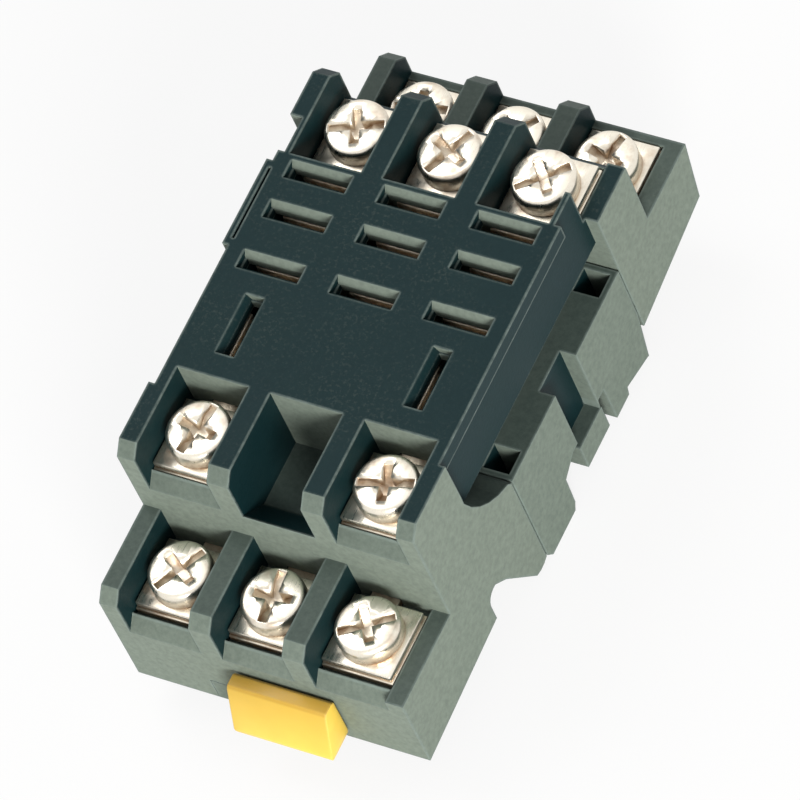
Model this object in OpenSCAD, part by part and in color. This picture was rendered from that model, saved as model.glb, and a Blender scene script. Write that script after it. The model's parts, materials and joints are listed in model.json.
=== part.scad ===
// Screw-terminal relay socket, 11 pins in three columns, for a rail or a panel.
// Millimetres. X runs across the three columns, Y from the coil end (pull tab)
// to the far end, Z up from the plane of the feet. The origin lies under the
// middle of the overall length, on the centre line.

/* [Housing] */
// Distance between neighbouring columns of terminals
pitch = 10; // [9.9:0.05:10.2]
// Thickness of the outer barrier walls
outer_wall_t = 1.9; // [1.7:0.1:2.2]
// Chamfer on the outer top corner of each barrier
barrier_chamfer = 1.3; // [0.4:0.1:2]
// Length of the relay face between the upper tiers
face_len = 24.4; // [24.2:0.1:30]
// Thickness of the relay face
face_t = 1.8; // [1.4:0.1:2.2]
// Web of plastic between the latch channel and a screw pocket
pocket_web = 0.8; // [0.6:0.1:1.2]

/* [Tiers] */
// Drop from the relay face to the top of an upper clamp washer
up_drop = 4; // [3.6:0.1:4.6]
// Drop from the relay face to the top of a lower clamp washer
low_drop = 13.5; // [13:0.1:14.2]
// Drop from the relay face to the top of the lower barriers
low_barrier_drop = 10; // [9:0.1:11]
// Drop from the relay face to the low end wall of the far tier
end_wall_drop = 13.8; // [13.6:0.1:14.4]
// Drop from the relay face to the low side wall of the far upper tier
side_wall_drop = 5; // [4.6:0.1:5.4]
// Depth of the sloping sill in front of the plates at the coil end
sill_slope = 1.4; // [0.8:0.1:1.5]
// Depth of the sloping sill in front of the plates of the far upper tier
sill_far = 0.7; // [0.5:0.1:0.8]
// Thickness of the low end wall behind the far lower tier
end_wall_t = 0.9; // [0.7:0.05:1.2]
// Flat sill left in front of the plates of the front lower tier
sill_flat = 0.5; // [0.2:0.1:1]
// Space behind the plates of the front lower tier
back_front_low = 0.8; // [0.7:0.1:1.5]
// Space behind the plates of the front upper tier
back_front_up = 0.8; // [0.3:0.1:1.5]
// Space behind the plates of the far upper tier
back_far_up = 1.7; // [0.5:0.1:2.5]

/* [Terminals] */
// Nominal diameter of the terminal screws
screw_d = 3.5; // [3:0.1:3.6]
// Length of a screw below its head
screw_len = 6.5; // [5.5:0.1:6.8]
// Diameter of a screw head
head_d = 6.4; // [5.8:0.1:6.8]
// Height of a screw head
head_h = 2.1; // [1.8:0.1:2.4]
// Side of the square clamp washer
washer_w = 7.3; // [6.8:0.1:7.4]
// Thickness of the clamp washer
washer_t = 0.9; // [0.7:0.05:1]
// Thickness of the terminal strip
strip_t = 0.8; // [0.6:0.05:0.9]
// Margin of the terminal plate beside the washer
plate_margin = 0.1; // [0.05:0.05:0.2]
// Margin of the terminal plate before and behind the washer
plate_end = 0.15; // [0.05:0.05:0.3]
// Width of the strip inside the housing
strip_w = 3; // [2.4:0.1:3.2]
// Diameter of the drawn collar round the terminal thread
collar_d = 5; // [4.6:0.1:5.4]
// Depth of the collar below the plate
collar_h = 1.4; // [1:0.1:1.6]
/* [Relay contacts] */
// Length of a blade slot in the relay face
slot_len = 6.2; // [5.4:0.1:6.4]
// Width of a blade slot in the relay face
slot_w = 1.1; // [0.9:0.05:1.3]
// Width of the lead-in funnel round a slot
funnel_w = 2.1; // [1.8:0.1:2.3]
// Depth of the lead-in funnel
funnel_h = 0.8; // [0.5:0.1:1]
// Distance from the far end of the face to the first row of slots
row_a = 1.6; // [1.6:0.05:1.8]
// Distance from the far end of the face to the second row of slots
row_b = 6.15; // [5.8:0.05:6.6]
// Distance from the far end of the face to the third row of slots
row_c = 11.9; // [11:0.05:12.4]
// Distance from the far end of the face to the coil slots
row_coil = 18.6; // [18:0.05:18.8]
// Width of a fork contact
fork_w = 5.2; // [4.4:0.1:5.4]
// Height of a fork contact
fork_h = 6.2; // [5:0.1:6.4]
// Distance over the two legs of a fork contact
fork_over = 1.9; // [1.8:0.05:1.95]
// Thickness of a fork leg
leg_t = 0.35; // [0.3:0.05:0.4]

/* [Side pockets and base] */
// Drop from the relay face to the ledge of the side pocket
ledge_drop = 13.4; // [12.8:0.1:13.8]
// Inset of the relay face edge from the side
face_inset = 0.65; // [0.4:0.05:1]
// Thickness of the wall round the contact cavity
cavity_wall = 1.2; // [1:0.1:1.2]
// Drop from the relay face to the step in the pocket wall
pocket_step_drop = 9.2; // [8.9:0.1:10]
// Length of the foot block under the relay face
foot_len = 24; // [23.9:0.1:24.1]
// Width of the groove in each side of the foot block
groove_w = 4.6; // [4:0.1:5]
// Depth of the groove in each side of the foot block
groove_d = 1.75; // [1.2:0.05:2]

/* [Rail latch] */
// Distance that the pull tab stands out from the housing
tab_out = 3.6; // [3.2:0.1:5]
// Width of the pull tab
tab_w = 10.6; // [9.6:0.1:11]
// Offset of the pull tab from the centre line
tab_offset = 2.4; // [1.8:0.1:2.4]
// Height of the pull tab
tab_h = 6; // [5:0.1:6.5]
// Width of the rail latch inside its channel
latch_w = 13.6; // [13:0.1:13.6]
// Thickness of the rail latch
latch_t = 1.7; // [1.5:0.05:1.75]
// Travel of the rail latch
latch_travel = 3.5; // [2:0.1:3.6]
// Width of the mounting rail that the latch grips
rail_w = 35; // [34.8:0.05:35.1]
// Thickness of the mounting rail
rail_t = 1; // [0.9:0.05:1]
// Outer diameter of the latch spring
spring_d = 2.3; // [2:0.05:2.4]
// Wire diameter of the latch spring
wire_d = 0.35; // [0.3:0.01:0.4]

/* [Clearances] */
// Play between a screw thread and its hole, on the radius
thread_play = 0.05; // [0.03:0.01:0.08]
// Gap round a part that is laid in the moulding
seat_gap = 0.1; // [0.05:0.01:0.12]
// Gap between a terminal plate and the walls of its bay
bay_gap = 0.1; // [0.05:0.05:0.15]
// Gap below the tip of a screw
tip_gap = 0.4; // [0.2:0.1:0.6]
// Gap between a fork contact and its cavity
fork_gap = 0.6; // [0.3:0.1:0.8]
// Gap round the sliding latch
slide_gap = 0.12; // [0.08:0.01:0.15]

/* [Hidden] */
$fn = 48;
eps = 0.01;
COLUMNS = [-1, 0, 1];
COL_NAMES = ["left", "centre", "right"];

// Widths
plate_w = washer_w + 2 * plate_margin;
plate_half = washer_w / 2 + plate_end;
bay_w = plate_w + 2 * bay_gap;
half_w = pitch + bay_w / 2 + outer_wall_t;
body_w = 2 * half_w;

// Stations along Y
setback_front_low = sill_slope + sill_flat + plate_half;
setback_front_up = sill_slope + bay_gap + plate_half;
setback_far_up = sill_far + 2 * bay_gap + plate_half;
setback_far_low = end_wall_t + bay_gap + plate_half;
front_low_len = setback_front_low + plate_half + back_front_low;
front_up_len = setback_front_up + plate_half + back_front_up;
far_up_len = setback_far_up + plate_half + back_far_up;
far_low_len = setback_far_low + plate_half;
total_len = front_low_len + front_up_len + face_len + far_up_len + far_low_len;
y_front = (tab_out - total_len) / 2;
y_step_front = y_front + front_low_len;
y_face_0 = y_step_front + front_up_len;
y_face_1 = y_face_0 + face_len;
y_step_far = y_face_1 + far_up_len;
y_far = y_step_far + far_low_len;
y_row_a = y_face_1 - row_a;
y_row_b = y_face_1 - row_b;
y_row_c = y_face_1 - row_c;
y_row_coil = y_face_1 - row_coil;

// Levels along Z
channel_z = 6.8;
low_seat = channel_z + pocket_web + tip_gap + screw_len;
face_z = low_seat + low_drop;
up_seat = face_z - up_drop;
up_floor = up_seat - washer_t - strip_t;
low_floor = low_seat - washer_t - strip_t;
low_barrier_z = face_z - low_barrier_drop;
end_wall_z = face_z - end_wall_drop;
side_wall_z = face_z - side_wall_drop;
ledge_z = face_z - ledge_drop;

// Screw stations
y_front_low = y_front + setback_front_low;
y_front_up = y_step_front + setback_front_up;
y_far_up = y_step_far - setback_far_up;
y_far_low = y_far - setback_far_low;

screw_neck_r = screw_d / 2 - 0.3;
metal = [0.84, 0.8, 0.7];

// Foot block, housing underside and rail
foot_far_gap = 0.15;
y_foot_1 = y_face_1 + 3.8;
y_foot_0 = y_foot_1 - foot_len;
foot_slope = 1;
rail_z = 1.9;
bottom_front_z = 3.6;
bottom_z = 4.6;
y_notch_0 = y_foot_0 - 9.1;
y_notch_top = y_foot_0 - 7.75;
notch_top_z = 8;
y_rail = (y_foot_0 + y_foot_1) / 2 - 0.7;
y_rail_near = y_rail - rail_w / 2;
y_rail_far = y_rail + rail_w / 2;

// Latch
latch_z = channel_z - slide_gap - latch_t;
hook_reach = 1.2;
hook_t = 0.75;
hook_z = rail_z - rail_t - seat_gap - hook_t;
neck_w = tab_w - 1.6;
y_latch_0 = y_front + 1.4 + latch_travel + slide_gap;
y_window_0 = y_latch_0 + 1.1;
y_window_1 = y_rail_near - 2.4;
window_w = spring_d + 0.9;
y_hook = y_rail_near - seat_gap;
hook_post_l = 1.7;
post_l = 1.2;
spring_turns = 6;

// Cavity under the relay face and the side pockets
strip_x = 1;
x_up = pitch + fork_w / 2 + fork_gap + cavity_wall;
x_low = pitch - strip_x + strip_w / 2 + fork_gap / 2 + cavity_wall;
y_cavity_0 = y_row_coil - fork_w / 2 - 0.7;
y_cavity_1 = y_row_a + fork_over / 2 + seat_gap;
fork_top = face_z - face_t - 0.45;
fork_bot = fork_top - fork_h;

// Extrudes a Y-Z outline along X, centred on the plane x.
module along_x(width, x = 0) {
    translate([x - width / 2, 0, 0])
        rotate([90, 0, 90])
            linear_extrude(width)
                children();
}

// A box given by its lowest and highest corners.
module block(low, high) {
    translate(low)
        cube(high - low);
}

// Points of an arc that rounds or hollows an outline.
function arc(cy, cz, r, a0, a1, n = 6) =
    [for (i = [0:n]) let (a = a0 + (a1 - a0) * i / n) [cy + r * cos(a), cz + r * sin(a)]];

// ---------------------------------------------------------------- housing

// Side outline of the housing, at the height of its barrier walls.
module housing_outline() {
    polygon(concat(
        [[y_front, bottom_front_z],
         [y_front, low_barrier_z - barrier_chamfer],
         [y_front + barrier_chamfer, low_barrier_z],
         [y_step_front, low_barrier_z],
         [y_step_front, face_z - barrier_chamfer],
         [y_step_front + barrier_chamfer, face_z],
         [y_step_far - barrier_chamfer, face_z],
         [y_step_far, face_z - barrier_chamfer],
         [y_step_far, low_barrier_z],
         [y_far - barrier_chamfer, low_barrier_z],
         [y_far, low_barrier_z - barrier_chamfer],
         [y_far, end_wall_z],
         [y_far - 1, bottom_z + 1.9],
         [y_foot_1 + foot_far_gap, bottom_z],
         [y_foot_1 + foot_far_gap, ledge_z],
         [y_foot_0, ledge_z],
         [y_foot_0, foot_slope + 0.1]],
        arc(y_foot_0 - 1.2, 3.4, 2.6, -62, -112, 3),
        [[y_foot_0 - 5.9, 6.5]],
        arc(y_notch_top, notch_top_z - 1.3, 1.35, 75, 175, 5),
        [[y_notch_0, bottom_z]]
    ));
}

// Everything above the floor of one terminal bay, open to the outside end.
module bay_cut(x, y_back, y_end, floor_z, sill_z, out, slope) {
    y_sill = y_end - out * slope;
    along_x(bay_w, x)
        polygon([[y_back, floor_z], [y_sill, floor_z], [y_sill, sill_z],
            [y_end + out, sill_z - slope - 1], [y_end + out, face_z + 1], [y_back, face_z + 1]]);
}

// The bays of all four tiers, with the deep empty bay between the coil screws.
module bays() {
    sill_up = up_floor + strip_t;
    sill_low = low_floor + strip_t;
    for (c = COLUMNS) {
        bay_cut(c * pitch, y_step_front - eps, y_front, low_floor, sill_low, -1, sill_slope);
        bay_cut(c * pitch, y_face_1, y_step_far, up_floor, sill_up, 1, sill_far);
        along_x(bay_w, c * pitch)
            polygon([[y_step_far - eps, low_floor], [y_far - end_wall_t, low_floor],
                [y_far - end_wall_t, end_wall_z], [y_far + 1, end_wall_z],
                [y_far + 1, face_z + 1], [y_step_far - eps, face_z + 1]]);
    }
    for (c = [-1, 1])
        bay_cut(c * pitch, y_face_0, y_step_front, up_floor, sill_up, -1, sill_slope);
    along_x(bay_w)
        polygon([[y_face_0, up_floor - 3.2], [y_step_front + 3, up_floor - 3.2],
            [y_step_front - eps, sill_up - sill_slope],
            [y_step_front - 1, sill_up - sill_slope],
            [y_step_front - 1, face_z + 1], [y_face_0, face_z + 1]]);
}

// Low side walls at the open right-hand side of three tiers.
module low_side_walls() {
    x0 = pitch + bay_w / 2 - eps;
    block([x0, y_face_1 + 3.6, side_wall_z], [half_w + 1, y_step_far + eps, face_z + 1]);
    block([x0, y_step_far, end_wall_z], [half_w + 1, y_far + 1, face_z]);
    block([x0, y_front - 1, low_floor + strip_t], [half_w + 1, y_step_front, face_z]);
}

// Slot with its funnel, centred on the origin and running along X.
module blade_slot() {
    block([-slot_len / 2, -slot_w / 2, face_z - face_t - 1], [slot_len / 2, slot_w / 2, face_z + 1]);
    translate([0, 0, face_z - funnel_h])
        rotate([90, 0, 90])
            translate([0, 0, -slot_len / 2 - 0.2])
                linear_extrude(slot_len + 0.4)
                    polygon([[-slot_w / 2, 0], [slot_w / 2, 0],
                        [funnel_w / 2, funnel_h + eps], [-funnel_w / 2, funnel_h + eps]]);
}

module blade_slots() {
    for (c = COLUMNS, y = [y_row_a, y_row_b, y_row_c])
        translate([c * pitch, y, 0])
            blade_slot();
    for (c = [-1, 1])
        translate([c * pitch, y_row_coil, 0])
            rotate([0, 0, 90])
                blade_slot();
}

// Hollow under the relay face that holds the fork contacts.
module contact_cavity() {
    up_half = x_up - cavity_wall;
    low_half = x_low - cavity_wall;
    step_z = face_z - pocket_step_drop + 0.6;
    block([-up_half, y_cavity_0, step_z], [up_half, y_cavity_1, face_z - face_t]);
    block([-low_half, y_foot_0 + 1, ledge_z - 1], [low_half, y_cavity_1, step_z + eps]);
}

// Pocket in the side under the edge of the relay face (drawn for +X).
module side_pocket() {
    step_z = face_z - pocket_step_drop;
    intersection() {
        union() {
            block([x_up, y_foot_0 - 7, step_z], [half_w + 1, y_foot_1 + foot_far_gap, face_z - face_t]);
            translate([0, y_foot_1 + foot_far_gap, 0])
                rotate([90, 0, 0])
                    linear_extrude(foot_len + 7)
                        polygon([[x_low, ledge_z - eps], [half_w + 1, ledge_z - eps],
                            [half_w + 1, step_z + eps], [x_up, step_z + eps]]);
            block([half_w - face_inset, y_foot_0 - 7, step_z],
                [half_w + 1, y_face_1 + 3.7, face_z + 1]);
            block([x_up, y_face_1, step_z], [half_w + 1, y_foot_1 + foot_far_gap, face_z + 1]);
        }
        along_x(3 * body_w)
            polygon(concat(
                [[y_foot_1 + foot_far_gap, ledge_z - 1], [y_foot_1 + foot_far_gap, face_z + 1],
                 [y_foot_0 - 6.5, face_z + 1], [y_foot_0 - 6.4, face_z - 5.5]],
                arc(y_foot_0 + 2.4, face_z - 4.2, 9.2, 196, 252, 5),
                [[y_foot_0 + 0.6, ledge_z - 1]]));
    }
}

// Tunnel for a flat strip, one gap larger all round.
module strip_tunnel(x, y0, y1, z) {
    block([x - strip_w / 2 - seat_gap, y0, z - seat_gap],
        [x + strip_w / 2 + seat_gap, y1, z + strip_t + seat_gap]);
}

module strip_tunnels() {
    for (c = COLUMNS) {
        x = c * (pitch - strip_x);
        strip_tunnel(x, y_step_front - 1, y_foot_0 + 2, low_floor);
        strip_tunnel(x, y_foot_1 - 1, y_step_far + 1, low_floor);
        strip_tunnel(c * pitch, y_cavity_1 - 1, y_face_1 + 1, up_floor);
    }
    for (c = [-1, 1])
        strip_tunnel(c * pitch, y_face_0 - 1, y_cavity_0 + 1, up_floor);
}

// Blind hole under a terminal plate for the collar and the screw end.
module screw_pocket(x, y, floor_z) {
    depth = screw_len - washer_t - strip_t + tip_gap;
    translate([x, y, floor_z - collar_h - 0.2])
        cylinder(d = collar_d + 0.4, h = collar_h + 1);
    translate([x, y, floor_z - depth])
        cylinder(d = screw_d + 0.4, h = depth + 1);
}

module screw_pockets() {
    for (c = COLUMNS) {
        screw_pocket(c * pitch, y_front_low, low_floor);
        screw_pocket(c * pitch, y_far_up, up_floor);
        screw_pocket(c * pitch, y_far_low, low_floor);
    }
    for (c = [-1, 1])
        screw_pocket(c * pitch, y_front_up, up_floor);
}

// Channel in the underside of the coil end for the rail latch.
module latch_channel() {
    half = latch_w / 2 + slide_gap;
    block([-half, y_front - 1, -1], [half, y_notch_0 + 3, channel_z]);
    block([-half, y_notch_0 + 2, -1], [half, y_rail_near + 0.4, channel_z]);
    translate([0, y_window_0 - 1, latch_z + latch_t / 2])
        rotate([-90, 0, 0])
            cylinder(d = spring_d + 0.5, h = y_window_1 - y_window_0 + 2.4);
}

// Fixed post that the spring pushes against.
module spring_post() {
    block([-spring_d / 2, y_window_0 + slide_gap, bottom_z + 0.4],
        [spring_d / 2, y_window_0 + slide_gap + post_l, channel_z + 1]);
}

// Fixed hook and seat ribs for the mounting rail.
module rail_seats() {
    hook_half = 6;
    rib_w = 2;
    along_x(2 * hook_half)
        polygon([[y_rail_far + 0.1, hook_z + hook_t],
            [y_rail_far - hook_reach, hook_z + hook_t], [y_rail_far - hook_reach + 0.5, hook_z],
            [y_rail_far + 1.7, hook_z], [y_rail_far + 2.1, bottom_z + 1.2],
            [y_rail_far + 0.1, bottom_z + 1.2]]);
    for (s = [-1, 1]) {
        along_x(rib_w, s * pitch)
            polygon([[y_foot_1 + 0.9, rail_z], [y_rail_far - 0.6, rail_z],
                [y_rail_far - 0.6, bottom_z + 1.2], [y_foot_1 + 0.9, bottom_z + 0.6]]);
        along_x(rib_w, s * pitch)
            polygon([[y_rail_near + 0.4, rail_z], [y_foot_0 - 2.6, rail_z],
                [y_foot_0 - 2.6, 5], [y_rail_near + 0.4, 8]]);
    }
}

// Narrow lip beside the left edge of the relay face, with its slit.
module left_lip() {
    y_lip = (y_face_0 + y_face_1) / 2 + 1.3;
    lip_l = 9.7;
    block([-half_w, y_lip, face_z - face_t], [-half_w + face_inset + eps, y_lip + lip_l, face_z]);
}

module left_slit() {
    y_lip = (y_face_0 + y_face_1) / 2 + 1.3;
    lip_l = 9.7;
    block([-half_w + face_inset - 0.05, y_lip + 0.8, face_z - face_t - 1],
        [-half_w + face_inset + 0.25, y_lip + lip_l - 0.8, face_z + 1]);
}

module housing() {
    color([0.11, 0.17, 0.17])
        difference() {
            union() {
                difference() {
                    along_x(body_w)
                        housing_outline();
                    bays();
                    low_side_walls();
                    side_pocket();
                    mirror([1, 0, 0])
                        side_pocket();
                    latch_channel();
                }
                spring_post();
                rail_seats();
                left_lip();
            }
            contact_cavity();
            blade_slots();
            strip_tunnels();
            screw_pockets();
            left_slit();
        }
}

// ------------------------------------------------------------- foot block

// Side outline of the foot block, seen along X.
module foot_outline() {
    y0 = y_foot_0 + foot_far_gap;
    polygon([[y0, ledge_z], [y0, foot_slope], [y0 + 0.7, 0], [y0 + 5.7, 0], [y0 + 6.1, 0.8],
        [y_foot_1 - 5.2, 0.8], [y_foot_1 - 5, 0], [y_foot_1 - 1.3, 0],
        [y_foot_1 - 0.9, 0.8], [y_foot_1, 6.8], [y_foot_1, ledge_z]]);
}

// Outline of the notches that break the lower edge of each flank.
module flank_relief() {
    y0 = y_foot_0 + foot_far_gap;
    polygon([[y0 + 6.1, -1], [y0 + 6.3, 4.7], [y0 + 8.7, 6],
        [y_foot_1 - 14.2, 6], [y_foot_1 - 14.2, 4.8], [y_foot_1 - 9.6, 4.8],
        [y_foot_1 - 9.4, 6.2], [y_foot_1 - 8.2, 6.2], [y_foot_1 - 8.1, 0.9],
        [y_foot_1 - 5.4, 0.9], [y_foot_1 - 5.2, 1.9], [y_foot_1 - 1, 0.9], [y_foot_1, -1]]);
}

module foot_block() {
    y_groove = y_foot_1 - 11.9;
    recess_half = x_low + seat_gap;
    flank_t = 2.6;
    y0 = y_foot_0 + foot_far_gap;
    color([0.13, 0.19, 0.19])
        difference() {
            union() {
                difference() {
                    along_x(body_w)
                        foot_outline();
                    for (s = [-1, 1]) {
                        along_x(flank_t * 2, s * half_w)
                            flank_relief();
                        translate([s * half_w, 0, 0])
                            block([-groove_d, y_groove - groove_w / 2, -1],
                                [groove_d, y_groove + groove_w / 2, ledge_z + 1]);
                    }
                }
                for (s = [-1, 1])
                    along_x(flank_t + 0.1, s * (half_w - flank_t / 2 - 0.05))
                        polygon([[y_groove - groove_w / 2, 1.6], [y_groove + groove_w / 2 + 0.2, 1.6],
                            [y_groove + groove_w / 2 + 0.2, 5], [y_groove - groove_w / 2, 5]]);
            }
            block([-recess_half, y0 + 1.6, low_floor - 0.6],
                [recess_half, y_foot_1 - 1.6, ledge_z + 1]);
            for (c = COLUMNS)
                block([c * (pitch - strip_x) - strip_w / 2 - seat_gap, y0 - 1, low_floor - seat_gap],
                    [c * (pitch - strip_x) + strip_w / 2 + seat_gap, y_foot_1 + 1, ledge_z + 1]);
            for (s = [-1, 1], y = [y0 + 1.9, y_foot_1 - 1.9])
                translate([s * (half_w - 2), y, 0])
                    block([-1.4, -1.3, 8], [1.4, 1.3, ledge_z + 1]);
        }
}

// ------------------------------------------------------------ rail latch

// Plain cover that closes the latch channel from below.
module latch_cover() {
    half = latch_w / 2 + slide_gap - seat_gap / 2;
    cover_t = latch_z - slide_gap - bottom_front_z;
    lug_x = tab_offset - neck_w / 2 - slide_gap;
    y_end = y_hook - hook_post_l - latch_travel - slide_gap;
    color([0.13, 0.19, 0.19])
        difference() {
            union() {
                block([-half, y_front, bottom_front_z], [half, y_end, bottom_front_z + cover_t]);
                block([-half, y_front, bottom_front_z],
                    [lug_x, y_front + 1.2, channel_z - seat_gap]);
            }
            translate([0, y_window_0 - 0.6, latch_z + latch_t / 2])
                rotate([-90, 0, 0])
                    cylinder(d = spring_d + 0.5, h = y_window_1 - y_window_0 + 1.2);
        }
}

// Side outline of the pull tab, seen along X.
module tab_outline() {
    y_in = y_front - slide_gap * 2;
    y_out = y_front - tab_out;
    polygon(concat(
        [[y_in, latch_z], [y_in, latch_z + tab_h - 0.3], [y_in - 0.3, latch_z + tab_h],
         [y_in - 1.5, latch_z + tab_h], [y_in - 1.8, latch_z + tab_h - 0.35]],
        arc(y_out + 0.9, latch_z + 0.6, 0.9, 170, 262, 5)));
}

module rail_latch() {
    y_post = y_hook - hook_post_l;
    corner_r = 2.6;
    color([0.96, 0.78, 0.2])
        difference() {
            union() {
                intersection() {
                    along_x(tab_w, tab_offset)
                        tab_outline();
                    translate([tab_offset, y_front + 1, latch_z - 1 + corner_r - 0.6])
                        rotate([90, 0, 0])
                            linear_extrude(tab_out + 3)
                                union() {
                                    translate([-tab_w / 2, 0])
                                        square([tab_w, tab_h + 2]);
                                    for (s = [-1, 1])
                                        translate([s * (tab_w / 2 - corner_r), 0])
                                            circle(corner_r);
                                    translate([corner_r - tab_w / 2, -corner_r])
                                        square([tab_w - 2 * corner_r, corner_r + eps]);
                                }
                }
                block([tab_offset - neck_w / 2, y_front - 1, latch_z],
                    [tab_offset + neck_w / 2, y_latch_0 + eps, latch_z + latch_t]);
                block([-latch_w / 2, y_latch_0, latch_z],
                    [latch_w / 2, y_hook, latch_z + latch_t]);
                along_x(latch_w - 1.2)
                    polygon([[y_post, latch_z + eps], [y_post + 0.3, hook_z],
                        [y_hook + hook_reach - 0.5, hook_z],
                        [y_hook + hook_reach, hook_z + hook_t],
                        [y_hook, hook_z + hook_t], [y_hook, latch_z + eps]]);
            }
            block([-window_w / 2, y_window_0, latch_z - 1],
                [window_w / 2, y_window_1, latch_z + latch_t + 1]);
        }
}

// Points of the coil, and its tube as one swept solid.
function ring(c, t, r, n) =
    [for (k = [0:n - 1]) let (a = 360 * k / n) c + r * (cos(a) * t[0] + sin(a) * t[1])];

module latch_spring() {
    y0 = y_window_0 + slide_gap + post_l + wire_d / 2 + 0.02;
    y1 = y_window_1 - wire_d / 2 - 0.02;
    r = (spring_d - wire_d) / 2;
    steps = 14;
    sides = 6;
    count = spring_turns * steps;
    points = [for (i = [0:count])
        let (a = 360 * i / steps,
            c = [r * cos(a), y0 + (y1 - y0) * i / count, latch_z + latch_t / 2 + r * sin(a)],
            out = [cos(a), 0, sin(a)])
        each ring(c, [out, [0, 1, 0]], wire_d / 2, sides)];
    color([0.75, 0.76, 0.78])
        polyhedron(points = points, faces = concat(
            [[for (k = [0:sides - 1]) sides - 1 - k]],
            [[for (k = [0:sides - 1]) count * sides + k]],
            [for (i = [0:count - 1], k = [0:sides - 1])
                [i * sides + k, i * sides + (k + 1) % sides,
                 (i + 1) * sides + (k + 1) % sides, (i + 1) * sides + k]]));
}

// -------------------------------------------------------------- terminals

// Fork that grips one relay blade, centred on x = y = 0, gripping across Y.
module fork() {
    o = fork_over / 2;
    grip = 0.3;
    along_x(fork_w)
        for (s = [-1, 1])
            polygon([for (p = [[o, fork_bot], [o, fork_top - 3.6], [grip + leg_t, fork_top - 1.9],
                    [o, fork_top], [o - leg_t, fork_top], [grip, fork_top - 1.9],
                    [o - leg_t, fork_top - 3.6], [o - leg_t, fork_bot + leg_t],
                    [-eps, fork_bot + leg_t], [-eps, fork_bot]]) [s * p[0], p[1]]]);
}

// Flat end under a clamp washer, with its drawn and threaded collar.
module terminal_plate(x, y, floor_z) {
    difference() {
        union() {
            block([x - plate_w / 2, y - plate_half, floor_z],
                [x + plate_w / 2, y + plate_half, floor_z + strip_t]);
            translate([x, y, floor_z - collar_h])
                cylinder(d = collar_d, h = collar_h + eps);
            children();
        }
        translate([x, y, floor_z - collar_h - 1])
            cylinder(r = screw_d / 2 + thread_play, h = collar_h + strip_t + 2);
    }
}

module flat_strip(x, y0, y1, z) {
    block([x - strip_w / 2, min(y0, y1), z], [x + strip_w / 2, max(y0, y1), z + strip_t]);
}

module terminal_far_upper(c) {
    color(metal)
        terminal_plate(c * pitch, y_far_up, up_floor) {
            flat_strip(c * pitch, y_far_up, y_row_a + fork_over / 2 - leg_t, up_floor);
            translate([c * pitch, y_row_a, 0])
                fork();
        }
}

module terminal_coil(c) {
    color(metal)
        terminal_plate(c * pitch, y_front_up, up_floor) {
            flat_strip(c * pitch, y_front_up, y_row_coil - fork_w / 2 + 0.4, up_floor);
            translate([c * pitch, y_row_coil, 0])
                rotate([0, 0, 90])
                    fork();
        }
}

// Terminal of a lower tier, whose strip runs low under the forks and rises to its own.
module terminal_low(c, y_plate, y_row) {
    x = c * (pitch - strip_x);
    color(metal)
        terminal_plate(c * pitch, y_plate, low_floor) {
            flat_strip(x, y_plate, y_row, low_floor);
            block([x - strip_w / 2, y_row - strip_t / 2, low_floor],
                [x + strip_w / 2, y_row + strip_t / 2, fork_bot + leg_t]);
            translate([c * pitch, y_row, 0])
                fork();
        }
}

// ------------------------------------------------------ washers and screws

module clamp_washer(x, y, seat_z) {
    relief = 0.25;
    color([0.88, 0.86, 0.78])
        difference() {
            block([x - washer_w / 2, y - washer_w / 2, seat_z - washer_t],
                [x + washer_w / 2, y + washer_w / 2, seat_z]);
            translate([x, y, seat_z - washer_t - 1])
                cylinder(r = screw_neck_r + thread_play, h = washer_t + 2);
            for (s = [-1, 1])
                translate([x, y + s * washer_w / 2, seat_z - washer_t])
                    block([-washer_w, -0.9, -1], [washer_w, 0.9, relief]);
        }
}

module cross_recess() {
    arm = 0.95;
    for (a = [0, 90])
        rotate([0, 0, a])
            rotate([90, 0, 0])
                translate([0, 0, -arm / 2])
                    linear_extrude(arm)
                        polygon([[-2, head_h + 1], [2, head_h + 1], [2, head_h - 0.3],
                            [0.6, head_h - 1.4], [-0.6, head_h - 1.4], [-2, head_h - 0.3]]);
    block([-2.8, -arm / 2, head_h - 0.6], [2.8, arm / 2, head_h + 1]);
}

module terminal_screw(x, y, seat_z, turn) {
    r = head_d / 2;
    edge = 0.55;
    neck = washer_t + 0.15;
    color([0.86, 0.84, 0.76])
        translate([x, y, seat_z])
            rotate([0, 0, turn])
                difference() {
                    rotate_extrude()
                        polygon(concat([[0, 0], [r - 0.15, 0], [r, 0.15]],
                            arc(r - edge, head_h - edge, edge, 0, 80, 4),
                            [[r * 0.5, head_h + 0.06], [0, head_h + 0.1]]));
                    cross_recess();
                }
    color([0.8, 0.77, 0.68])
        translate([x, y, seat_z])
            rotate_extrude()
                polygon([[0, 0.01], [screw_neck_r, 0.01], [screw_neck_r, -neck],
                    [screw_d / 2, -neck - 0.3], [screw_d / 2, 0.5 - screw_len],
                    [screw_d / 2 - 0.5, -screw_len], [0, -screw_len]]);
}

// Column, station along Y, seat level and angle of every screw.
function site(tier, c) =
    tier == "far_upper" ? [c * pitch, y_far_up, up_seat] :
    tier == "far_lower" ? [c * pitch, y_far_low, low_seat] :
    tier == "front_lower" ? [c * pitch, y_front_low, low_seat] :
    [c * pitch, y_front_up, up_seat];

TURNS = [["far_upper", [20, 65, 40]], ["far_lower", [10, 50, 75]],
    ["front_lower", [60, 95, 35]], ["coil", [80, 0, 15]]];

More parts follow.
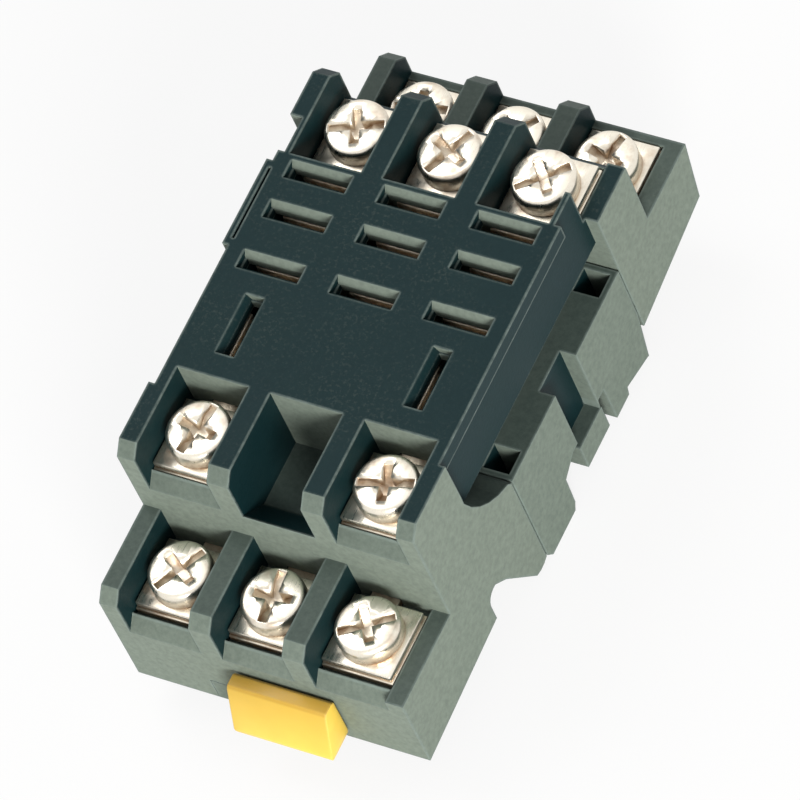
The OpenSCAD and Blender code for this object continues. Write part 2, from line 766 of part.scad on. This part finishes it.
for (t = TURNS, c = COLUMNS)
    if (t[0] != "coil" || c != 0) {
        tier = t[0];
        s = site(tier, c);
        suffix = str(tier, "_", COL_NAMES[c + 1]);
        terminal_screw(s[0], s[1], s[2], t[1][c + 1]);
        clamp_washer(s[0], s[1], s[2]);
        union() {
            if (tier == "far_upper") terminal_far_upper(c);
            if (tier == "far_lower") terminal_low(c, y_far_low, y_row_b);
            if (tier == "front_lower") terminal_low(c, y_front_low, y_row_c);
            if (tier == "coil") terminal_coil(c);
        }
    }

housing();
foot_block();
latch_cover();
rail_latch();
latch_spring();
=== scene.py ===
"""Screw-terminal relay socket: mould finishes, plated metal, threads, stage and light.

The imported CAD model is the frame. Every size here is in millimetres until it meets Blender,
and every place comes from the frame's own boxes.
"""

import json
import math

import bmesh
import bpy
from mathutils import Matrix, Vector


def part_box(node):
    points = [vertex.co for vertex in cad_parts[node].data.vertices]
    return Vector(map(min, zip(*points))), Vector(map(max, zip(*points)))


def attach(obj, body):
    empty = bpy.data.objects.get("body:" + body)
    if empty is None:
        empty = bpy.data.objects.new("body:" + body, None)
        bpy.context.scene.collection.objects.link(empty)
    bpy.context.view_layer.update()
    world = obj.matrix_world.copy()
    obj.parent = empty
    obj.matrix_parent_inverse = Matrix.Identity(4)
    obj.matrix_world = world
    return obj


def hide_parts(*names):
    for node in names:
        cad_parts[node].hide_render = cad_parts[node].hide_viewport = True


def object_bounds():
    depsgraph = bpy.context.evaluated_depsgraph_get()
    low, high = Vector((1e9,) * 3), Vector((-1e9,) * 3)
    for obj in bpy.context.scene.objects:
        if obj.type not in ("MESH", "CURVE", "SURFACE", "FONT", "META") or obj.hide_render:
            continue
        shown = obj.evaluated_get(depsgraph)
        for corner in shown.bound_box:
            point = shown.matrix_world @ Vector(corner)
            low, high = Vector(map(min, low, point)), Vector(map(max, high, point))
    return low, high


MM = 0.001

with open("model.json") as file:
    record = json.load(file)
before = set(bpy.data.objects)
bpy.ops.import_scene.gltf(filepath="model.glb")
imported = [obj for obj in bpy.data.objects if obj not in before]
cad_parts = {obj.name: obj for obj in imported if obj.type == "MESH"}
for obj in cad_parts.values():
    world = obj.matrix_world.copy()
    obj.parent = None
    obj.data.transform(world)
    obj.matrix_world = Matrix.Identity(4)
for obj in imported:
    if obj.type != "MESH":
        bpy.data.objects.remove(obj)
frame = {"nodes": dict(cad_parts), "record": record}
cad_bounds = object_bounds()

# Camera: where it stands round the part, and how far it leans.
CAMERA_AIM = Vector((0.87, 0.05, 13.49)) * MM
CAMERA_DISTANCE = 831.6 * MM
CAMERA_AZIMUTH = math.radians(48.08)
CAMERA_ELEVATION = math.radians(54.83)
CAMERA_ROLL = math.radians(26.47)
CAMERA_LENS = 399.9

# Widths of the true rounded edges, and the angles that count as sharp.
METAL_ROUND = 0.12
LATCH_ROUND = 0.45
BEVEL_ANGLE = math.radians(28)
SHADE_ANGLE = math.radians(35)
FLAT_ANGLE = math.radians(0.5)
WELD = 0.001 * MM

LAMP_AIM = (0, 0, 14 * MM)

# Half size of the floor, and its distance below the feet.
FLOOR_REACH = 3.0
FLOOR_DROP = 0.02 * MM

# Top faces below this level are painted part way to the paler lit colour, as painted light.
LOW_LEVEL = 19.0 * MM

# Faces this near to the outer width belong to the outer skin.
SKIN_DEPTH = 0.4 * MM

# Screw thread, laid round the shank between its neck and its tip.
THREAD_PITCH = 0.6
THREAD_DEPTH = 0.3
NECK_MARGIN = 0.4 * MM
TIP_MARGIN = 0.35 * MM
SEAT_MARGIN = 0.05 * MM

COLUMNS = ("left", "centre", "right")
SITES = [f"{tier}_{column}" for tier in ("far_upper", "far_lower", "front_lower")
         for column in COLUMNS] + ["coil_left", "coil_right"]


# ------------------------------------------------------------------ camera

def add_camera():
    """A long lens that looks down on the coil end and the open side."""
    data = bpy.data.cameras.new("camera")
    data.lens = CAMERA_LENS
    data.sensor_width = 36
    data.clip_start = 0.05
    data.clip_end = 20
    camera = bpy.data.objects.new("camera", data)
    bpy.context.scene.collection.objects.link(camera)
    level = math.cos(CAMERA_ELEVATION)
    out = Vector((level * math.sin(CAMERA_AZIMUTH), -level * math.cos(CAMERA_AZIMUTH),
                  math.sin(CAMERA_ELEVATION)))
    turn = out.to_track_quat("Z", "Y").to_matrix().to_4x4()
    lean = Matrix.Rotation(-CAMERA_ROLL, 4, "Z")
    camera.matrix_world = Matrix.Translation(CAMERA_AIM + out * CAMERA_DISTANCE) @ turn @ lean
    bpy.context.scene.camera = camera


# ------------------------------------------------------------- node helpers

class Graph:
    """Short calls that add and link shader nodes in one tree."""

    def __init__(self, tree):
        self.tree = tree
        self.nodes = tree.nodes

    def add(self, kind, **values):
        """A node; keywords are sockets by name, or properties of the node itself."""
        node = self.nodes.new(kind)
        for key, value in values.items():
            if hasattr(node, key):
                setattr(node, key, value)
        for key, value in values.items():
            if not hasattr(node, key):
                self.feed(node.inputs[key.replace("_", " ")], value)
        return node

    def feed(self, socket, value):
        if isinstance(value, bpy.types.NodeSocket):
            self.tree.links.new(value, socket)
        else:
            socket.default_value = value

    def math(self, operation, *values, clamp=False):
        node = self.nodes.new("ShaderNodeMath")
        node.operation = operation
        node.use_clamp = clamp
        for socket, value in zip(node.inputs, values):
            self.feed(socket, value)
        return node.outputs[0]

    def mix(self, factor, a, b, blend="MIX"):
        node = self.nodes.new("ShaderNodeMix")
        node.data_type = "RGBA"
        node.blend_type = blend
        self.feed(node.inputs[0], factor)
        self.feed(node.inputs[6], a)
        self.feed(node.inputs[7], b)
        return node.outputs[2]

    def ramp(self, value, low, high):
        """value stretched so that low becomes 0 and high becomes 1."""
        node = self.nodes.new("ShaderNodeMapRange")
        self.feed(node.inputs["Value"], value)
        self.feed(node.inputs["From Min"], low)
        self.feed(node.inputs["From Max"], high)
        return node.outputs["Result"]

    def noise(self, vector, scale, detail=2.0, rough=0.5):
        node = self.nodes.new("ShaderNodeTexNoise")
        self.feed(node.inputs["Vector"], vector)
        self.feed(node.inputs["Scale"], scale)
        self.feed(node.inputs["Detail"], detail)
        self.feed(node.inputs["Roughness"], rough)
        return node.outputs["Fac"]


def new_group(name, inputs, outputs):
    """An empty shader group with float or vector sockets, as (graph, inputs, outputs node)."""
    tree = bpy.data.node_groups.new(name, "ShaderNodeTree")
    for label, kind, value in inputs:
        socket = tree.interface.new_socket(label, in_out="INPUT", socket_type=kind)
        if value is not None:
            socket.default_value = value
    for label, kind in outputs:
        tree.interface.new_socket(label, in_out="OUTPUT", socket_type=kind)
    graph = Graph(tree)
    return graph, graph.add("NodeGroupInput").outputs, graph.add("NodeGroupOutput").inputs


FLOAT = "NodeSocketFloat"
VECTOR = "NodeSocketVector"


def build_mould_grain():
    """Spark-eroded grain of a mould: a fine height, a slow tone and a speckle."""
    graph, given, result = new_group(
        "Mould Grain",
        [("Grain Size", FLOAT, 0.25), ("Speckle Size", FLOAT, 0.6), ("Cloud Size", FLOAT, 9.0)],
        [("Height", FLOAT), ("Speckle", FLOAT), ("Cloud", FLOAT)])
    place = graph.add("ShaderNodeTexCoord").outputs["Object"]
    per_metre = 1 / MM
    fine = graph.noise(place, graph.math("DIVIDE", per_metre, given["Grain Size"]), 3.0, 0.6)
    speckle = graph.noise(place, graph.math("DIVIDE", per_metre, given["Speckle Size"]), 2.0, 0.7)
    cloud = graph.noise(place, graph.math("DIVIDE", per_metre, given["Cloud Size"]), 2.0, 0.5)
    graph.feed(result["Height"], fine)
    graph.feed(result["Speckle"], graph.ramp(speckle, 0.3, 0.7))
    graph.feed(result["Cloud"], graph.ramp(cloud, 0.3, 0.7))
    return graph.tree


def build_edge_wear():
    """Mask of the rubbed outer edges, broken up by noise."""
    graph, given, result = new_group(
        "Edge Wear",
        [("Reach", FLOAT, 0.25 * MM), ("Patchiness", FLOAT, 0.6), ("Strength", FLOAT, 1.0)],
        [("Mask", FLOAT), ("Crease", FLOAT)])
    place = graph.add("ShaderNodeTexCoord").outputs["Object"]
    geometry = graph.add("ShaderNodeNewGeometry")
    inside = graph.add("ShaderNodeAmbientOcclusion", samples=6, inside=True)
    graph.feed(inside.inputs["Distance"], given["Reach"])
    hollow = graph.add("ShaderNodeAmbientOcclusion", samples=6)
    graph.feed(hollow.inputs["Distance"], graph.math("MULTIPLY", given["Reach"], 6.0))
    graph.feed(hollow.inputs["Normal"], geometry.outputs["Normal"])
    edge = graph.ramp(inside.outputs["AO"], 0.98, 0.72)
    patch = graph.ramp(graph.noise(place, 0.9 / MM, 3.0, 0.7), 0.3, 0.7)
    broken = graph.math("MULTIPLY", edge, graph.math(
        "ADD", graph.math("SUBTRACT", 1.0, given["Patchiness"]),
        graph.math("MULTIPLY", patch, given["Patchiness"])))
    graph.feed(result["Mask"], graph.math("MULTIPLY", broken, given["Strength"], clamp=True))
    # The crease mask is the ambient occlusion of hollows: the latch and the metal darken with it as
    # painted shade, and the dust gathers thicker with it.
    graph.feed(result["Crease"], graph.ramp(hollow.outputs["AO"], 0.75, 0.25))
    return graph.tree


def build_facing():
    """Masks that place painted light: the top faces, the outer skin with the front faces, and the
    top faces at low levels.
    """
    graph, given, result = new_group(
        "Facing",
        [("Softness", FLOAT, 0.35), ("Half Width", FLOAT, cad_bounds[1][0]),
         ("Low Level", FLOAT, LOW_LEVEL)],
        [("Top", FLOAT), ("Outer", FLOAT), ("Low", FLOAT)])
    coordinate = graph.add("ShaderNodeTexCoord").outputs
    normal = graph.add("ShaderNodeSeparateXYZ", Vector=coordinate["Normal"]).outputs
    place = graph.add("ShaderNodeSeparateXYZ", Vector=coordinate["Object"]).outputs
    low = graph.math("SUBTRACT", 0.6, given["Softness"])
    high = graph.math("ADD", low, given["Softness"])
    top = graph.ramp(normal["Z"], low, high)
    reach = graph.math("ABSOLUTE", place["X"])
    skin = graph.ramp(reach, graph.math("SUBTRACT", given["Half Width"], SKIN_DEPTH),
                      graph.math("SUBTRACT", given["Half Width"], SKIN_DEPTH / 2))
    turned = graph.ramp(graph.math("ABSOLUTE", normal["X"]), 0.3, 0.7)
    front = graph.ramp(graph.math("MULTIPLY", normal["Y"], -1.0), 0.45, 0.8)
    graph.feed(result["Top"], top)
    # Painted light: the Outer mask marks the outer side faces and the front faces, which take the
    # lit colour.
    graph.feed(result["Outer"], graph.math(
        "MAXIMUM", graph.math("MULTIPLY", skin, turned), front))
    graph.feed(result["Low"], graph.math("MULTIPLY", top, graph.ramp(
        place["Z"], graph.math("ADD", given["Low Level"], SKIN_DEPTH), given["Low Level"])))
    return graph.tree


def build_dust():
    """Pale dust that settles on faces that look up, thicker in corners."""
    graph, given, result = new_group(
        "Settled Dust", [("Amount", FLOAT, 0.3), ("Crease", FLOAT, 0.0)], [("Mask", FLOAT)])
    coordinate = graph.add("ShaderNodeTexCoord")
    up = graph.add("ShaderNodeSeparateXYZ", Vector=coordinate.outputs["Normal"]).outputs["Z"]
    grains = graph.noise(coordinate.outputs["Object"], 2.6 / MM, 4.0, 0.75)
    drift = graph.noise(coordinate.outputs["Object"], 0.12 / MM, 2.0, 0.5)
    lie = graph.ramp(up, 0.2, 0.9)
    specks = graph.ramp(grains, 0.52, 0.72)
    patches = graph.ramp(drift, 0.35, 0.7)
    thick = graph.math("ADD", graph.math("MULTIPLY", specks, patches),
                       graph.math("MULTIPLY", given["Crease"], 0.5))
    graph.feed(result["Mask"], graph.math(
        "MULTIPLY", graph.math("MULTIPLY", thick, lie), given["Amount"], clamp=True))
    return graph.tree


def build_stamped_metal():
    """Rolling marks, small dents, tarnished blotches and painted brown shade in the corners of
    stamped plate.
    """
    graph, given, result = new_group(
        "Stamped Metal",
        [("Mark Size", FLOAT, 0.5), ("Tarnish", FLOAT, 0.5), ("Crease", FLOAT, 0.0)],
        [("Height", FLOAT), ("Polish", FLOAT), ("Stain", FLOAT)])
    place = graph.add("ShaderNodeTexCoord").outputs["Object"]
    long = graph.add("ShaderNodeMapping", Vector=place, Scale=(1.0, 0.12, 0.5))
    scale = graph.math("DIVIDE", 1 / MM, given["Mark Size"])
    marks = graph.noise(long.outputs["Vector"], graph.math("MULTIPLY", scale, 2.5), 3.0, 0.6)
    dents = graph.noise(place, scale, 2.0, 0.5)
    blotch = graph.noise(place, 0.45 / MM, 3.0, 0.65)
    graph.feed(result["Height"], graph.math(
        "ADD", graph.math("MULTIPLY", marks, 0.4), graph.math("MULTIPLY", dents, 0.6)))
    graph.feed(result["Polish"], graph.ramp(marks, 0.3, 0.7))
    # Painted shade and tarnished plating: the crease part browns the hollows, the blotch part is
    # tarnished plating; the Tarnish amount scales both.
    stain_and_shade = graph.math("ADD", graph.ramp(blotch, 0.5, 0.8), graph.math(
        "MULTIPLY", given["Crease"], 0.9))
    graph.feed(result["Stain"], graph.math("MULTIPLY", stain_and_shade, given["Tarnish"], clamp=True))
    return graph.tree


def new_material(name):
    material = bpy.data.materials.new(name)
    material.use_nodes = True
    graph = Graph(material.node_tree)
    shader = graph.nodes["Principled BSDF"]
    return material, graph, shader


def place_group(graph, tree, **values):
    node = graph.nodes.new("ShaderNodeGroup")
    node.node_tree = tree
    for key, value in values.items():
        graph.feed(node.inputs[key.replace("_", " ")], value)
    return node.outputs


def soft_normal(graph, height, radius, strength, depth):
    """Normal of a surface with rounded edges and a fine relief."""
    bevel = graph.add("ShaderNodeBevel", samples=4, Radius=radius * MM)
    bump = graph.nodes.new("ShaderNodeBump")
    bump.inputs["Strength"].default_value = strength
    bump.inputs["Distance"].default_value = depth * MM
    graph.feed(bump.inputs["Height"], height)
    graph.feed(bump.inputs["Normal"], bevel.outputs["Normal"])
    return bump.outputs["Normal"]


def moulded_plastic(name, groups, top, side, rub, dust, round_mm=0.18):
    """Dark filled plastic with painted light: dark top faces, with the outer flanks, the front
    faces and, part way, the low top faces painted paler as lit; rubbed edges.
    """
    material, graph, shader = new_material(name)
    grain = place_group(graph, groups["grain"])
    facing = place_group(graph, groups["facing"])
    wear = place_group(graph, groups["wear"], Strength=0.8)
    settled = place_group(graph, groups["dust"], Amount=dust, Crease=wear["Crease"])
    # Painted light: the paler side colour is the lit look of the same plastic, laid part way on low
    # top faces and fully on the outer flanks and front faces.
    colour = graph.mix(graph.math("MULTIPLY", facing["Low"], 0.4), top, side)
    colour = graph.mix(facing["Outer"], colour, side)
    colour = graph.mix(graph.math("MULTIPLY", grain["Speckle"], 0.45), colour,
                       graph.mix(0.5, colour, (0.0, 0.01, 0.012, 1.0)))
    colour = graph.mix(graph.math("MULTIPLY", grain["Cloud"], 0.25), colour,
                       graph.mix(0.08, colour, side))
    colour = graph.mix(wear["Mask"], colour, rub)
    colour = graph.mix(settled["Mask"], colour, (0.22, 0.24, 0.21, 1.0))
    graph.feed(shader.inputs["Base Color"], colour)
    gloss = graph.math("ADD", 0.42, graph.math("MULTIPLY", facing["Outer"], 0.16))
    gloss = graph.math("ADD", gloss, graph.math("MULTIPLY", grain["Cloud"], 0.08))
    graph.feed(shader.inputs["Roughness"], graph.math(
        "ADD", gloss, graph.math("MULTIPLY", settled["Mask"], 0.3), clamp=True))
    shader.inputs["Specular IOR Level"].default_value = 0.09
    graph.feed(shader.inputs["Normal"], soft_normal(graph, grain["Height"], round_mm, 0.35, 0.05))
    return material


def latch_plastic(name, groups):
    """Yellow plastic of the latch, with painted shade: darker on its top faces and brown in its
    hollows.
    """
    material, graph, shader = new_material(name)
    grain = place_group(graph, groups["grain"], Grain_Size=0.35, Cloud_Size=4.0)
    facing = place_group(graph, groups["facing"])
    wear = place_group(graph, groups["wear"], Strength=0.35)
    settled = place_group(graph, groups["dust"], Amount=0.25, Crease=wear["Crease"])
    lit_yellow = (0.9, 0.62, 0.09, 1.0)
    shaded_yellow = (0.52, 0.31, 0.035, 1.0)
    # Painted shade: the top faces take the darker shaded yellow, the front faces the lit yellow.
    colour = graph.mix(facing["Top"], lit_yellow, shaded_yellow)
    colour = graph.mix(graph.math("MULTIPLY", grain["Cloud"], 0.25), colour, shaded_yellow)
    colour = graph.mix(wear["Mask"], colour, (0.95, 0.68, 0.2, 1.0))
    # Painted shade: the hollows of the latch are darkened towards brown.
    colour = graph.mix(graph.math("MULTIPLY", wear["Crease"], 0.5), colour, (0.25, 0.13, 0.02, 1.0))
    colour = graph.mix(settled["Mask"], colour, (0.3, 0.25, 0.15, 1.0))
    graph.feed(shader.inputs["Base Color"], colour)
    graph.feed(shader.inputs["Roughness"], graph.math(
        "ADD", 0.36, graph.math("MULTIPLY", grain["Cloud"], 0.12)))
    shader.inputs["Subsurface Weight"].default_value = 0.06
    shader.inputs["Subsurface Radius"].default_value = (0.002, 0.001, 0.0004)
    graph.feed(shader.inputs["Normal"], soft_normal(graph, grain["Height"], 0.25, 0.25, 0.04))
    return material


def plated_metal(name, groups, colour, stain_and_shade, tarnish_and_shade, rough, mark=0.5, round_mm=0.12):
    """Warm nickel plate over brass, tarnished in blotches and painted with brown shade in the
    corners.
    """
    material, graph, shader = new_material(name)
    wear = place_group(graph, groups["wear"], Strength=0.6)
    stamped = place_group(graph, groups["stamped"], Mark_Size=mark, Tarnish=tarnish_and_shade,
                          Crease=wear["Crease"])
    # Brown for tarnished blotches and for painted shade in the hollows.
    base = graph.mix(stamped["Stain"], colour, stain_and_shade)
    base = graph.mix(graph.math("MULTIPLY", wear["Mask"], 0.5), base, (0.98, 0.95, 0.88, 1.0))
    graph.feed(shader.inputs["Base Color"], base)
    shader.inputs["Metallic"].default_value = 1.0
    polish = graph.math("MULTIPLY", stamped["Polish"], 0.14)
    dull = graph.math("MULTIPLY", stamped["Stain"], 0.25)
    graph.feed(shader.inputs["Roughness"], graph.math(
        "ADD", rough, graph.math("ADD", polish, dull), clamp=True))
    graph.feed(shader.inputs["Normal"], soft_normal(graph, stamped["Height"], round_mm, 0.3, 0.04))
    return material


def build_materials():
    groups = {"grain": build_mould_grain(), "wear": build_edge_wear(), "facing": build_facing(),
              "dust": build_dust(), "stamped": build_stamped_metal()}
    teal = (0.006, 0.023, 0.026, 1.0)
    # The flank colours are painted light: the same teal plastic as it looks lit on its sides and
    # front faces.
    painted_lit_flank = (0.2, 0.24, 0.2, 1.0)
    painted_lit_foot_flank = (0.18, 0.22, 0.185, 1.0)
    rubbed = (0.2, 0.25, 0.23, 1.0)
    nickel = (0.85, 0.78, 0.64, 1.0)
    # The brown colours serve both tarnished blotches and painted shade in the hollows of the metal.
    brown = (0.33, 0.19, 0.09, 1.0)
    return {
        "housing_plastic": moulded_plastic("moulded_housing", groups, teal, painted_lit_flank, rubbed, 0.16),
        "foot_plastic": moulded_plastic("moulded_foot", groups, teal, painted_lit_foot_flank, rubbed, 0.12),
        "latch_plastic": latch_plastic("moulded_latch", groups),
        "spring_wire": plated_metal("drawn_wire", groups, (0.6, 0.6, 0.61, 1.0),
                                    (0.2, 0.17, 0.14, 1.0), 0.2, 0.25),
        "terminal_metal": plated_metal("stamped_terminal", groups, nickel, brown, 0.75, 0.24, 0.9),
        "washer_metal": plated_metal("stamped_washer", groups, (0.87, 0.81, 0.69, 1.0),
                                     brown, 0.65, 0.22, 0.8),
        "screw_metal": plated_metal("headed_screw", groups, (0.87, 0.81, 0.69, 1.0),
                                    (0.36, 0.22, 0.12, 1.0), 0.75, 0.24, 0.6, 0.08),
    }


# ------------------------------------------------------------------ pieces

def body_of_node(node):
    """Body that carries a CAD node."""
    for body, members in frame["record"]["behaviour"]["bodies"].items():
        if node in members:
            return body
    raise KeyError(node)


def slot_of_node(node):
    """Material slot that the record gives a CAD node."""
    for part in frame["record"]["subparts"]:
        if part["node"] == node:
            return part["material_slot"]
    raise KeyError(node)


def finish_cad_nodes(materials, replaced):
    """Gives the nodes that stay their finish, flat faces staying flat."""
    for name, node in frame["nodes"].items():
        if name in replaced:
            continue
        node.data.materials.clear()
        node.data.materials.append(materials[slot_of_node(name)])


def merged_copy(node):
    """A welded copy of a CAD node's mesh, its flat faces made whole again."""
    work = bmesh.new()
    work.from_mesh(frame["nodes"][node].data)
    bmesh.ops.remove_doubles(work, verts=work.verts, dist=WELD)
    bmesh.ops.dissolve_limit(work, angle_limit=FLAT_ANGLE, verts=work.verts, edges=work.edges)
    return work


def thread_tree():
    """Geometry Nodes tree that lays a screw thread round a shank and joins the two."""
    tree = bpy.data.node_groups.new("Screw Thread", "GeometryNodeTree")
    wanted = [("Geometry", "NodeSocketGeometry"), ("Axis Point", VECTOR), ("Outer Radius", FLOAT),
              ("Pitch", FLOAT), ("Length", FLOAT), ("Depth", FLOAT),
              ("Finish", "NodeSocketMaterial")]
    for label, kind in wanted:
        tree.interface.new_socket(label, in_out="INPUT", socket_type=kind)
    tree.interface.new_socket("Geometry", in_out="OUTPUT", socket_type="NodeSocketGeometry")
    graph = Graph(tree)
    given = graph.add("NodeGroupInput").outputs
    result = graph.add("NodeGroupOutput").inputs
    root = graph.math("SUBTRACT", given["Outer Radius"], given["Depth"])
    helix = graph.add("GeometryNodeCurveSpiral")
    helix.inputs["Resolution"].default_value = 32
    graph.feed(helix.inputs["Rotations"], graph.math("DIVIDE", given["Length"], given["Pitch"]))
    graph.feed(helix.inputs["Start Radius"], root)
    graph.feed(helix.inputs["End Radius"], root)
    graph.feed(helix.inputs["Height"], given["Length"])
    ridge = graph.add("GeometryNodeCurvePrimitiveCircle")
    ridge.inputs["Resolution"].default_value = 4
    graph.feed(ridge.inputs["Radius"], given["Depth"])
    sweep = graph.add("GeometryNodeCurveToMesh")
    graph.feed(sweep.inputs["Curve"], helix.outputs["Curve"])
    graph.feed(sweep.inputs["Profile Curve"], ridge.outputs["Curve"])
    sweep.inputs["Fill Caps"].default_value = True
    moved = graph.add("GeometryNodeTransform")
    graph.feed(moved.inputs["Geometry"], sweep.outputs["Mesh"])
    graph.feed(moved.inputs["Translation"], given["Axis Point"])
    joined = graph.add("GeometryNodeJoinGeometry")
    graph.feed(joined.inputs["Geometry"], given["Geometry"])
    graph.feed(joined.inputs["Geometry"], moved.outputs["Geometry"])
    real = graph.add("GeometryNodeRealizeInstances")
    graph.feed(real.inputs["Geometry"], joined.outputs["Geometry"])
    painted = graph.add("GeometryNodeSetMaterial")
    graph.feed(painted.inputs["Geometry"], real.outputs["Geometry"])
    graph.feed(painted.inputs["Material"], given["Finish"])
    graph.feed(result["Geometry"], painted.outputs["Geometry"])
    return tree


def set_inputs(modifier, **values):
    """Sets a Geometry Nodes modifier's inputs by their labels."""
    for item in modifier.node_group.interface.items_tree:
        if item.item_type == "SOCKET" and item.in_out == "INPUT":
            key = item.name.replace(" ", "_")
            if key in values:
                modifier[item.identifier] = values[key]


def applied(piece):
    """Turns a piece's modifiers into its mesh."""
    graph = bpy.context.evaluated_depsgraph_get()
    mesh = bpy.data.meshes.new_from_object(piece.evaluated_get(graph))
    piece.modifiers.clear()
    piece.data = mesh
    mesh.name = piece.name
    return piece


def new_piece(name, work):
    mesh = bpy.data.meshes.new(name)
    work.to_mesh(mesh)
    work.free()
    piece = bpy.data.objects.new(name, mesh)
    bpy.context.scene.collection.objects.link(piece)
    return piece


def stand_for(piece, node, materials):
    """Makes a piece ride, finish and stand for its CAD node."""
    slot = slot_of_node(node)
    if not piece.data.materials:
        piece.data.materials.append(materials[slot])
    piece.data.set_sharp_from_angle(angle=SHADE_ANGLE)
    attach(piece, body_of_node(node))
    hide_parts(node)
    return piece


def round_edges(piece, width):
    """Bevels every sharp edge of a piece."""
    bevel = piece.modifiers.new("rounding", "BEVEL")
    bevel.width = width * MM
    bevel.segments = 2
    bevel.limit_method = "ANGLE"
    bevel.angle_limit = BEVEL_ANGLE
    bevel.use_clamp_overlap = True
    return applied(piece)


def threaded_screw(site, tree, materials):
    """A screw with a real thread on a slimmer shank, in place of the plain CAD one."""
    node = f"screw_{site}"
    low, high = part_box(node)
    axis = Vector(((low.x + high.x) / 2, (low.y + high.y) / 2, 0))
    work = merged_copy(node)
    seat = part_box(f"washer_{site}")[1].z
    neck_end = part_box(f"washer_{site}")[0].z - NECK_MARGIN
    outer = max((Vector((v.co.x, v.co.y, 0)) - axis).length for v in work.verts
                if v.co.z < neck_end)
    core = outer - THREAD_DEPTH * MM
    for v in work.verts:
        if v.co.z < seat - SEAT_MARGIN:
            away = Vector((v.co.x, v.co.y, 0)) - axis
            if away.length > core:
                away = away.normalized() * core
                v.co = Vector((axis.x + away.x, axis.y + away.y, v.co.z))
    piece = new_piece(f"{node}_threaded", work)
    thread = piece.modifiers.new("thread", "NODES")
    thread.node_group = tree
    bottom = low.z + TIP_MARGIN
    set_inputs(thread, Axis_Point=(axis.x, axis.y, bottom), Outer_Radius=outer,
               Pitch=THREAD_PITCH * MM, Length=neck_end - bottom,
               Depth=THREAD_DEPTH * MM, Finish=materials["screw_metal"])
    applied(piece)
    return stand_for(piece, node, materials)


# ---------------------------------------------------------- stage and light

def add_stage():
    """A pale floor that fades to white where the camera sees it."""
    mesh = bpy.data.meshes.new("floor")
    corners = [(-FLOOR_REACH, -FLOOR_REACH, 0), (FLOOR_REACH, -FLOOR_REACH, 0),
               (FLOOR_REACH, FLOOR_REACH, 0), (-FLOOR_REACH, FLOOR_REACH, 0)]
    mesh.from_pydata(corners, [], [(0, 1, 2, 3)])
    floor = bpy.data.objects.new("floor", mesh)
    floor.location.z = cad_bounds[0][2] - FLOOR_DROP
    bpy.context.scene.collection.objects.link(floor)
    material, graph, shader = new_material("pale_floor")
    shader.inputs["Base Color"].default_value = (0.86, 0.86, 0.86, 1)
    shader.inputs["Roughness"].default_value = 0.9
    shader.inputs["Specular IOR Level"].default_value = 0.1
    glow = graph.add("ShaderNodeEmission", Strength=1.0)
    rays = graph.add("ShaderNodeLightPath").outputs
    seen = graph.math("MAXIMUM", rays["Is Camera Ray"], rays["Is Glossy Ray"])
    blend = graph.add("ShaderNodeMixShader")
    graph.feed(blend.inputs[0], graph.math("MULTIPLY", seen, 0.85))
    graph.feed(blend.inputs[1], shader.outputs[0])
    graph.feed(blend.inputs[2], glow.outputs[0])
    graph.feed(graph.nodes["Material Output"].inputs["Surface"], blend.outputs[0])
    floor.data.materials.append(material)


def add_lamp(name, place, aim, size, watts, colour=(1, 1, 1)):
    data = bpy.data.lights.new(name, "AREA")
    data.shape = "DISK"
    data.size = size
    data.energy = watts
    data.color = colour
    lamp = bpy.data.objects.new(name, data)
    turn = (Vector(place) - Vector(aim)).to_track_quat("Z", "Y").to_matrix().to_4x4()
    lamp.matrix_world = Matrix.Translation(place) @ turn
    bpy.context.scene.collection.objects.link(lamp)


def add_light():
    """A low key from the front right, a soft fill overhead and a pale surround."""
    world = bpy.data.worlds.new("surround")
    bpy.context.scene.world = world
    world.use_nodes = True
    graph = Graph(world.node_tree)
    back = graph.nodes["Background"]
    back.inputs["Color"].default_value = (1.0, 1.0, 1.0, 1)
    rays = graph.add("ShaderNodeLightPath").outputs
    seen = graph.math("MAXIMUM", rays["Is Camera Ray"], graph.math(
        "MAXIMUM", rays["Is Glossy Ray"], rays["Is Transmission Ray"]))
    graph.feed(back.inputs["Strength"], graph.math(
        "ADD", 0.42, graph.math("MULTIPLY", seen, 0.58)))
    add_lamp("key", (0.55, -0.62, 0.34), LAMP_AIM, 0.35, 9.0, (1.0, 0.985, 0.95))
    add_lamp("fill", (-0.5, 0.2, 0.8), LAMP_AIM, 0.6, 3.0)
    bpy.context.scene.view_settings.view_transform = "Standard"


def main():
    add_camera()
    materials = build_materials()
    tree = thread_tree()
    replaced = set()
    for site in SITES:
        threaded_screw(site, tree, materials)
        replaced.add(f"screw_{site}")
        for kind in ("washer", "terminal"):
            node = f"{kind}_{site}"
            piece = new_piece(f"{node}_stamped", merged_copy(node))
            round_edges(piece, METAL_ROUND)
            stand_for(piece, node, materials)
            replaced.add(node)
    latch = new_piece("rail_latch_moulded", merged_copy("rail_latch"))
    round_edges(latch, LATCH_ROUND)
    stand_for(latch, "rail_latch", materials)
    replaced.add("rail_latch")
    finish_cad_nodes(materials, replaced)
    add_stage()
    add_light()


main()
